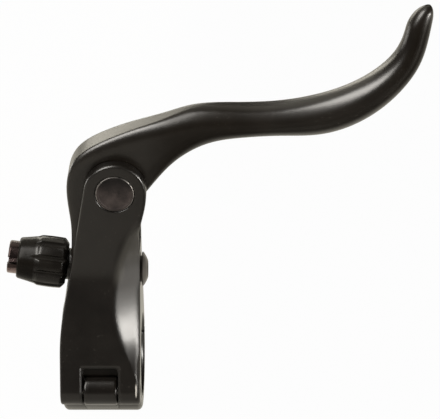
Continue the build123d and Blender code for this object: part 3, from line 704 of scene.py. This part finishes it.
# %% Adjuster knob
knob_foot, knob_tip, flute_count, flute_radius = 1.55, 16.35, 10, 0.9
knob_side = [(3.45, knob_foot), (5.9, knob_foot), (6.25, 1.7), (6.8, 2.15), (7.3, 2.6), (7.55, 2.9)]
knob_side += [(7.6 + 0.12 * math.sin(math.pi * (row + 1) / 16), 3.1 + 0.45 * row) for row in range(15)]
knob_side += [(7.58, 9.85), (7.5, 10.1), (7.4, 10.3), (7.3, 10.5), (7.2, 10.7), (7.13, 10.95), (7.08, 11.2)]
knob_side += [(7.0, 11.6), (6.9, 12.1), (6.72, 13.0), (6.45, 14.4), (6.25, 15.5)]
knob_side += [(6.14, 15.9), (5.95, 16.2), (5.7, knob_tip)]
knob_bore = [(5.2, knob_tip), (5.0, 16.15), (5.0, 2.95), (3.45, 2.95)]
knob = turn("adjuster_knob_ribbed", knob_side + knob_bore, 240)


def ribbed(radius, angle, along):
    """Pull a point of the knob's outer side in to the floor of the flute that it lies in."""
    if radius < 5.6:
        return radius
    step = 2 * math.pi / flute_count
    beside = abs((angle + step / 2) % step - step / 2) * 7.5
    flute_floor = 7.9 - math.sqrt(max(flute_radius**2 - beside**2, 0))
    rib_shoulder = 7.72 - 0.1 * max(0.0, 1.4 - beside)
    return min(radius, flute_floor - 0.1, rib_shoulder)


reshape(knob, ribbed)
knob_front = (0, -1, 0)
lay_along(knob, adjuster_centre, adjuster_axis, knob_front, 35)
fit(knob, "adjuster_knob", knob_nylon)

# %% [markdown]
# ## Adjuster sleeve
# The slotted tube ends in a plain collar, and behind that it carries a fine thread, one millimetre a turn,
# which only shows when the knob drives it out. It is turned with rings every tenth of a millimetre, and the
# thread is a radius that rises and falls once a turn. The slot that lets the wire in sideways is then sawn
# with a Boolean, as a saw does it on the real tube, after the thread.

# %% Adjuster sleeve
sleeve_foot, collar_foot, sleeve_tip, thread_pitch = 5.3, 16.1, 19.3, 1.0
core_radius, thread_height, end_radius = 4.55, 0.38, 0.55
slot_width, slot_angle = 2, 14
sleeve_outline = [(4.9, sleeve_foot + 0.1 * row) for row in range(141)]
sleeve_outline += [(2.8, sleeve_tip), (2.6, sleeve_tip - 0.2), (2.6, 13.3), (1.1, 13.3)]
sleeve_outline += [(1.1, 12.3), (3.35, 12.3), (3.35, sleeve_foot)]
sleeve = turn("adjuster_sleeve_threaded", sleeve_outline, 96)


def threaded(radius, angle, along):
    """The radius of the thread, the collar and the rounded ends."""
    if radius < 4.0:
        return radius
    led_in = min(along - sleeve_foot, sleeve_tip - along)
    rounded_end = 4.4 + math.sqrt(max(end_radius**2 - max(end_radius - led_in, 0) ** 2, 0))
    if along > collar_foot:
        return rounded_end
    phase = (along / thread_pitch + angle / (2 * math.pi)) % 1
    flank = min(max(2.4 * abs(phase - 0.5) - 0.1, 0), 1)
    return min(core_radius + thread_height * flank, rounded_end)


reshape(sleeve, threaded)

# %% Sawn slot
bpy.ops.object.select_all(action="DESELECT")
bpy.ops.mesh.primitive_cube_add(size=1)
saw = bpy.context.object
saw.data.transform(Matrix.Diagonal((6 * MM, slot_width * MM, 30 * MM, 1)))
saw.data.transform(Matrix.Translation((3 * MM, 0, 12 * MM)))
saw.data.transform(Matrix.Rotation(math.radians(slot_angle), 4, "Z"))
bpy.context.view_layer.objects.active = sleeve
cut = sleeve.modifiers.new("sawn_slot", "BOOLEAN")
cut.operation = "DIFFERENCE"
cut.solver = "EXACT"
cut.object = saw
bpy.ops.object.modifier_apply(modifier=cut.name)
bpy.data.objects.remove(saw)
lay_along(sleeve, adjuster_centre, adjuster_axis, knob_front, 30)
fit(sleeve, "adjuster_sleeve", sleeve_black)

# %% [markdown]
# ## Return spring
# The torsion spring in the hub has one leg in the lever and one in the rear arm, so it winds up when the
# lever is pulled. Its coil in the CAD model has the right shape. A merged and smoothed copy of it stands
# in for it.

# %% Return spring
spring = bpy.data.objects.new("return_spring_wound", nodes["return_spring"].data.copy())
bpy.context.scene.collection.objects.link(spring)
make_active(spring)
bpy.ops.object.mode_set(mode="EDIT")
bpy.ops.mesh.select_all(action="SELECT")
bpy.ops.mesh.remove_doubles(threshold=weld_distance)
bpy.ops.object.mode_set(mode="OBJECT")
bpy.ops.object.shade_smooth_by_angle(angle=math.radians(40))
spring.data.materials.clear()
spring.data.materials.append(drawn_wire)
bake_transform(spring)
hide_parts("return_spring")
print("spring faces:", len(spring.data.polygons))

# %% [markdown]
# ## Finishes on the pieces
# Each piece of the CAD model keeps its place and mesh and takes the finish of its real counterpart.

# %% Assign finishes
finishes = {
    "clamp_body": body_satin,
    "clamp_band": body_satin,
    "hinge_pin": bright_steel,
    "clamp_bolt": black_oxide,
    "clamp_washer": bright_steel,
    "brake_lever": lever_satin,
    "lever_bush": bearing_acetal,
    "pivot_screw": black_oxide,
    "pivot_washer": bright_steel,
    "thrust_washer_front": bearing_acetal,
    "thrust_washer_rear": bearing_acetal,
    "housing_stop": stop_black,
}
for name, finish in finishes.items():
    nodes[name].data.materials.clear()
    nodes[name].data.materials.append(finish)
print("finished pieces:", len(finishes))

# %% View transform
bpy.context.scene.view_settings.view_transform = "Standard"
bpy.context.view_layer.update()
